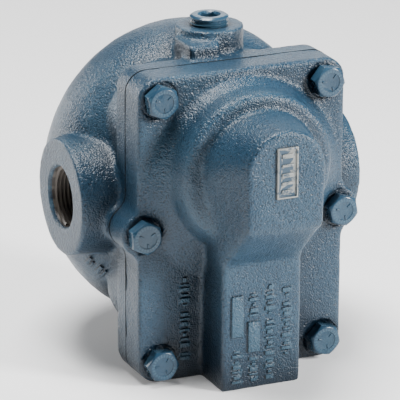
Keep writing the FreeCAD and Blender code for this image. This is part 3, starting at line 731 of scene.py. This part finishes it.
class TRAP_OT_body(bpy.types.Operator):
    """Builds the rear casting: bowl, neck, flange, inlets and vent boss"""

    bl_idname = "trap.body"
    bl_label = "Body casting"

    row_turn: FloatProperty(name="Row turn", default=30,
                            description="Turn of the bowl's row of bars, in degrees")

    def execute(self, context):
        casting = recast("body", "body_casting", GASKET_HIGH.y, -0.003, body_ways, [], 13)
        for name in ("inlet_left", "inlet_right"):
            cut_thread_bore(casting, *ports()[name])
        self.add_marks(casting)
        shade_smooth(casting, SHARP_ANGLE)
        finish_piece(casting, [finish("enamel"), finish("thread")], "enamelled_casting", "body")
        colour_threads(casting, ("inlet_left", "inlet_right"))
        return {"FINISHED"}

    def add_marks(self, casting):
        """Sets a short row of blank bars on the bowl below the left inlet."""
        s = sizes()
        heart = Vector((0, GASKET_HIGH.y + s.bowl_back_set, FLANGE_MIDDLE + s.bowl_rise))
        outward = Vector((-0.795, -0.305, -0.525)).normalized()
        found, point, normal, _ = casting.ray_cast(heart + outward * 0.12, -outward)
        if not found:
            raise RuntimeError("the bowl wasn't found below the left inlet")
        across = (BACK - normal * normal.y).normalized()
        along = normal.cross(across)
        place = Matrix((across, along, normal)).transposed().to_4x4()
        marks = bmesh.new()
        for low, high, reach in bar_row(-5.0, 5.0, 5):
            add_block(marks, (-1.6 * reach, low, -0.0015), (1.6 * reach, high, s.mark_height * 1.3),
                      0.0002)
        bmesh.ops.transform(marks, verts=marks.verts, matrix=Matrix.Translation(point) @ place
                            @ Matrix.Rotation(math.radians(self.row_turn), 4, "Z"))
        combine(casting, piece("marks", marks), "UNION")


def bar_row(low, high, start):
    """Blank cast bars up one row, in place of any wording: (low, high, reach) of each."""
    widths, gaps, reaches = (1.0, 1.5, 0.9, 1.9), (0.9, 1.3, 0.8), (2.2, 1.4, 2.2, 1.8, 0.9)
    z, step = low, start
    while z < high:
        width = widths[step % 4]
        yield z * MM, (z + width) * MM, reaches[step % 5] * MM
        z += width + gaps[step % 3] + (1.6 if step % 7 == 6 else 0)
        step += 1


class TRAP_OT_cover(bpy.types.Operator):
    """Builds the front casting: flange, dome, arched boss, outlet and its blank pads"""

    bl_idname = "trap.cover"
    bl_label = "Cover casting"

    def execute(self, context):
        s = sizes()
        flange_front = GASKET_LOW.y - s.cover_thickness
        near = COVER_LOW.y - 0.002
        flatten = [((-0.006, near, 0.089), (0.006, ARCH_FRONT, 0.115)),
                   ((-0.015, near, 0.012), (0.001, COLUMN_FRONT, 0.046)),
                   ((-0.030, near, 0.008), (-0.0225, flange_front, 0.048))]
        ramp = [((0, COLUMN_FRONT - 0.006, 0.074), (0.040, 0.018, 0.021), 60)]
        casting = recast("cover", "cover_casting", GASKET_LOW.y, 0.003, cover_ways, flatten, 7,
                         ramp)
        seat = BACK * 0.0003
        for place in bolt_places():
            cut(casting, lambda bm: add_rod(bm, s.spot_face_radius, place + seat, -BACK, 0.017))
        cut_thread_bore(casting, *ports()["outlet"])
        self.add_marks(casting, flange_front)
        shade_smooth(casting, SHARP_ANGLE)
        finish_piece(casting, [finish("enamel"), finish("thread")], "enamelled_casting", "cover")
        colour_threads(casting, ("outlet",))
        return {"FINISHED"}

    def add_marks(self, casting, flange_front):
        """Sets the two raised blank pads and the rows of bars on the casting."""
        s = sizes()
        marks = bmesh.new()
        rows = ((-11.7, COLUMN_FRONT, 3.2, 18.6), (-3.9, COLUMN_FRONT, 3.2, 13.4),
                (-3.9, COLUMN_FRONT, 32.6, 43.0), (3.6, COLUMN_FRONT, 3.2, 43.5),
                (11.4, COLUMN_FRONT, 13.0, 43.0), (-26.5, flange_front, 9.0, 47.0))
        for start, (x, face, low, high) in enumerate(rows):
            for bottom, top, reach in bar_row(low, high, start):
                add_block(marks, (x * MM - reach, face - s.mark_height, bottom),
                          (x * MM + reach, face + 0.001, top), 0.0002)
        for low, high in (((-0.0142, 0.0242), (-0.0088, 0.0424)),
                          ((-0.0066, 0.0166), (-0.0012, 0.0302))):
            add_block(marks, (low[0], COLUMN_FRONT - 0.0008, low[1]),
                      (high[0], COLUMN_FRONT + 0.001, high[1]), 0.0003)
        combine(casting, piece("marks", marks), "UNION")


class TRAP_OT_plaque(bpy.types.Operator):
    """Builds the blank raised plaque on the arched boss"""

    bl_idname = "trap.plaque"
    bl_label = "Blank plaque"

    def execute(self, context):
        bm = bmesh.new()
        add_block(bm, (-0.0048, ARCH_FRONT - 0.00085, 0.0912),
                  (0.0048, ARCH_FRONT + 0.001, 0.1130), 0.0004)
        plaque = piece("name_plaque", bm)
        cut(plaque, lambda bm: add_block(bm, (-0.0040, ARCH_FRONT - 0.003, 0.0920),
                                         (0.0040, ARCH_FRONT - 0.00025, 0.1122), 0.0002))
        for low, high in ((0.0935, 0.0950), (0.0972, 0.0984), (0.1003, 0.1022), (0.1048, 0.1060),
                          (0.1085, 0.1104)):
            bm = bmesh.new()
            add_block(bm, (-0.0026, ARCH_FRONT - 0.0008, low), (0.0026, ARCH_FRONT + 0.0005, high),
                      0.0003)
            combine(plaque, piece("bar", bm), "UNION")
        shade_smooth(plaque, 35)
        finish_piece(plaque, [finish("worn")], "enamelled_casting")
        return {"FINISHED"}


# ---------------------------------------------------------------- threads and fasteners


class TRAP_OT_threads(bpy.types.Operator):
    """Cuts the pipe threads of the three ports, as ridges inside their bores"""

    bl_idname = "trap.threads"
    bl_label = "Port threads"

    def execute(self, context):
        s = sizes()
        bm = bmesh.new()
        for mouth, inward in ports().values():
            ridge = bmesh.new()
            add_thread(ridge, mouth + inward * THREAD_START, inward,
                       BORE_RADIUS + s.thread_height * 0.55,
                       BORE_RADIUS - s.thread_height * 0.45, s.pipe_pitch,
                       int((THREAD_LENGTH - 0.0022) / s.pipe_pitch))
            pour(ridge, bm)
        threads = piece("port_threads", bm)
        shade_smooth(threads, 30)
        finish_piece(threads, [finish("thread")], "enamelled_casting")
        return {"FINISHED"}


class TRAP_OT_screws(bpy.types.Operator):
    """Builds the six hex cap screws with chamfered heads and three marks on each"""

    bl_idname = "trap.screws"
    bl_label = "Cap screws"

    def execute(self, context):
        whole = bmesh.new()
        for place, turn in zip(bolt_places(), BOLT_TURNS):
            screw = self.make_screw(place + BACK * 0.0003, math.radians(turn))
            whole.from_mesh(screw.data)
            discard(screw)
        screws = piece("cap_screws", whole)
        shade_smooth(screws, 40)
        finish_piece(screws, [finish("screw")], "painted_fasteners", "cover_bolts")
        return {"FINISHED"}

    def make_screw(self, seat, turn):
        s = sizes()
        out = -BACK
        corner = s.bolt_across_flats / math.sqrt(3)
        bm = bmesh.new()
        add_rod(bm, corner, seat + out * 0.0004, out, s.bolt_head_height - 0.0004, 6, turn=turn)
        head = piece("head", bm)
        bm = bmesh.new()
        profile = ((0.0, 0.0), (corner * 1.02, 0.0), (corner * 1.02, s.bolt_head_height * 0.80),
                   (s.bolt_across_flats * 0.465, s.bolt_head_height), (0.0, s.bolt_head_height))
        place = Matrix.Translation(seat) @ facing(out)
        verts = [bm.verts.new(place @ Vector((radius, 0, rise))) for radius, rise in profile]
        edges = [bm.edges.new(pair) for pair in zip(verts, verts[1:])]
        bmesh.ops.spin(bm, geom=verts + edges, cent=seat, axis=out, angle=math.tau, steps=96,
                       use_merge=True)
        bmesh.ops.remove_doubles(bm, verts=bm.verts, dist=0.01 * MM)
        bmesh.ops.recalc_face_normals(bm, faces=bm.faces)
        combine(head, piece("chamfer", bm), "INTERSECT")
        apply_modifier(head, "BEVEL", width=0.00028, segments=3, limit_method="ANGLE",
                       angle_limit=math.radians(25))
        bm = bmesh.new()
        add_rod(bm, s.bolt_across_flats * 0.475, seat, out, 0.0007)
        combine(head, piece("washer_face", bm), "UNION")
        bm = bmesh.new()
        add_rod(bm, s.bolt_radius - 0.00035, seat + out * 0.0005, -out, 0.0227)
        combine(head, piece("shank", bm), "UNION")
        top = seat + out * s.bolt_head_height
        bm = bmesh.new()
        add_rod(bm, s.bolt_across_flats * 0.335, top + out * 0.0002, -out, 0.00042)
        dish = piece("dish", bm)
        apply_modifier(dish, "BEVEL", width=0.00015, segments=2, limit_method="ANGLE",
                       angle_limit=math.radians(40))
        combine(head, dish)
        for third in range(3):
            bm = bmesh.new()
            add_block(bm, (0.0021, -0.00034, -0.0005), (0.0040, 0.00034, 0.00012), 0.00014)
            bmesh.ops.transform(bm, verts=bm.verts, matrix=Matrix.Translation(top) @ facing(out)
                                @ Matrix.Rotation(turn + math.radians(30 + 120 * third), 4, "Z"))
            combine(head, piece("mark", bm), "UNION")
        ridge = bmesh.new()
        ridge.from_mesh(head.data)
        thread = bmesh.new()
        add_thread(thread, seat - out * 0.0050, -out, s.bolt_radius - 0.0006,
                   s.bolt_radius - 0.00005, SCREW_PITCH, 11)
        pour(thread, ridge)
        ridge.to_mesh(head.data)
        ridge.free()
        return head


class TRAP_OT_plug(bpy.types.Operator):
    """Builds the vent plug: hex socket and exposed thread turns"""

    bl_idname = "trap.plug"
    bl_label = "Vent plug"

    def execute(self, context):
        s = sizes()
        top = Vector((PLUG_MIDDLE.x, PLUG_MIDDLE.y, PLUG_HIGH.z))
        radius = (PLUG_HIGH.x - PLUG_LOW.x) / 2
        depth = PLUG_HIGH.z - PLUG_LOW.z
        bm = bmesh.new()
        profile = ((0.0, 0.0), (radius - 0.0012, 0.0), (radius - 0.0002, 0.0007),
                   (radius - 0.0002, 0.0013), (radius - 0.0012, 0.0019),
                   (radius - 0.0012, depth - 0.001), (radius - 0.0022, depth), (0.0, depth))
        verts = [bm.verts.new(top + Vector((r, 0, -drop))) for r, drop in profile]
        edges = [bm.edges.new(pair) for pair in zip(verts, verts[1:])]
        bmesh.ops.spin(bm, geom=verts + edges, cent=top, axis=UP, angle=math.tau, steps=96,
                       use_merge=True)
        bmesh.ops.remove_doubles(bm, verts=bm.verts, dist=0.01 * MM)
        bmesh.ops.recalc_face_normals(bm, faces=bm.faces)
        plug = piece("vent_plug_turned", bm)
        socket = SOCKET_ACROSS_FLATS / math.sqrt(3)
        cut(plug, lambda b: add_rod(b, socket, top + UP * 0.001, -UP, 0.009, 6,
                                    turn=math.radians(12)))
        cut(plug, lambda b: add_rod(b, socket + 0.0008, top + UP * 0.0004, -UP, 0.0014,
                                    end_radius=socket - 0.0006))
        apply_modifier(plug, "BEVEL", width=0.00018, segments=2, limit_method="ANGLE",
                       angle_limit=math.radians(30))
        thread = bmesh.new()
        add_thread(thread, top - UP * 0.0017, -UP, radius - 0.0014, radius - 0.0002,
                   s.plug_pitch, 5)
        whole = bmesh.new()
        whole.from_mesh(plug.data)
        pour(thread, whole)
        whole.to_mesh(plug.data)
        whole.free()
        shade_smooth(plug, 35)
        finish_piece(plug, [finish("screw")], "painted_fasteners", "vent_plug")
        return {"FINISHED"}


class TRAP_OT_inside(bpy.types.Operator):
    """Gives the gasket, valve, float and vent pieces their finishes"""

    bl_idname = "trap.inside"
    bl_label = "Inside pieces"

    def execute(self, context):
        c = colours()
        coat("cover_gasket", make_gasket_sheet())
        steel = tuple(c.steel)
        turned = metal("turned_stainless", steel, 0.22, (1, 8, 1))
        pressed = metal("pressed_stainless", steel, 0.3, (6, 1, 1))
        spun = metal("spun_stainless", steel, 0.16, (1, 10, 1))
        bronze = metal("bellows_bronze", tuple(c.bronze), 0.25)
        copper = metal("soft_copper", tuple(c.copper), 0.35)
        for names, material in (
                (("valve_seat", "bracket_screws", "pivot_pin", "pivot_clip", "valve_head",
                  "valve_head_nut", "float_boss", "float_washer", "float_screw", "vent_seat",
                  "vent_head", "vent_frame_screws", "vent_frame_nut"), turned),
                (("pivot_bracket", "float_lever", "vent_frame"), pressed),
                (("float_front_half", "float_rear_half"), spun),
                (("vent_bellows", "bellows_cap"), bronze),
                (("valve_seat_gasket", "vent_seat_gasket"), copper)):
            for name in names:
                coat(name, material)
        return {"FINISHED"}


# ---------------------------------------------------------------- stage


class TRAP_OT_stage(bpy.types.Operator):
    """Builds the pale floor, the soft studio lights and the camera"""

    bl_idname = "trap.stage"
    bl_label = "Stage"

    def execute(self, context):
        bm = bmesh.new()
        bmesh.ops.create_grid(bm, x_segments=1, y_segments=1, size=3)
        floor = piece("floor", bm)
        floor.data.materials.append(make_floor_paper())
        self.light(context.scene)
        self.place_camera(context.scene)
        return {"FINISHED"}

    def light(self, scene):
        world = bpy.data.worlds.new("studio")
        world.use_nodes = True
        background = world.node_tree.nodes["Background"]
        background.inputs["Color"].default_value = (1, 1, 1, 1)
        background.inputs["Strength"].default_value = 0.015
        scene.world = world
        for name, place, size, power in LIGHTS:
            light = bpy.data.lights.new(name, "AREA")
            light.size = size
            light.energy = power
            lamp = bpy.data.objects.new(name, light)
            lamp.location = place
            aim = LIGHT_AIM - Vector(place)
            lamp.rotation_euler = aim.to_track_quat("-Z", "Y").to_euler()
            scene.collection.objects.link(lamp)

    def place_camera(self, scene):
        yaw, pitch, roll = (math.radians(angle) for angle in CAMERA_ANGLES)
        away = Vector((-math.sin(yaw) * math.cos(pitch), -math.cos(yaw) * math.cos(pitch),
                       math.sin(pitch)))
        camera = bpy.data.cameras.new("camera")
        camera.sensor_width = 36
        camera.lens = CAMERA_LENS
        camera.clip_start = 0.01
        view = bpy.data.objects.new("camera", camera)
        view.location = CAMERA_AIM + away * CAMERA_DISTANCE
        view.rotation_euler = ((-away).to_track_quat("-Z", "Y").to_matrix()
                               @ Matrix.Rotation(roll, 3, "Z")).to_euler()
        scene.collection.objects.link(view)
        scene.camera = view


OPERATORS = (TRAP_OT_body, TRAP_OT_cover, TRAP_OT_plaque, TRAP_OT_threads, TRAP_OT_screws,
             TRAP_OT_plug, TRAP_OT_inside, TRAP_OT_stage)


class TRAP_PT_pieces(bpy.types.Panel):
    """Lists the pieces, sizes and colours of the trap"""

    bl_label = "Steam trap"
    bl_space_type = "VIEW_3D"
    bl_region_type = "UI"
    bl_category = "Steam trap"

    def draw(self, context):
        for step in OPERATORS:
            self.layout.operator(step.bl_idname)
        for group in (context.scene.trap_sizes, context.scene.trap_colours):
            for name in group.__annotations__:
                self.layout.prop(group, name)


CLASSES = (TrapSizes, TrapColours, TRAP_PT_pieces) + OPERATORS


def register():
    for cls in CLASSES:
        bpy.utils.register_class(cls)
    bpy.types.Scene.trap_sizes = PointerProperty(type=TrapSizes)
    bpy.types.Scene.trap_colours = PointerProperty(type=TrapColours)


def unregister():
    del bpy.types.Scene.trap_colours
    del bpy.types.Scene.trap_sizes
    for cls in reversed(CLASSES):
        bpy.utils.unregister_class(cls)


def main():
    register()
    for step in OPERATORS:
        getattr(bpy.ops.trap, step.bl_idname.split(".")[1])()


if __name__ == "__main__":
    main()
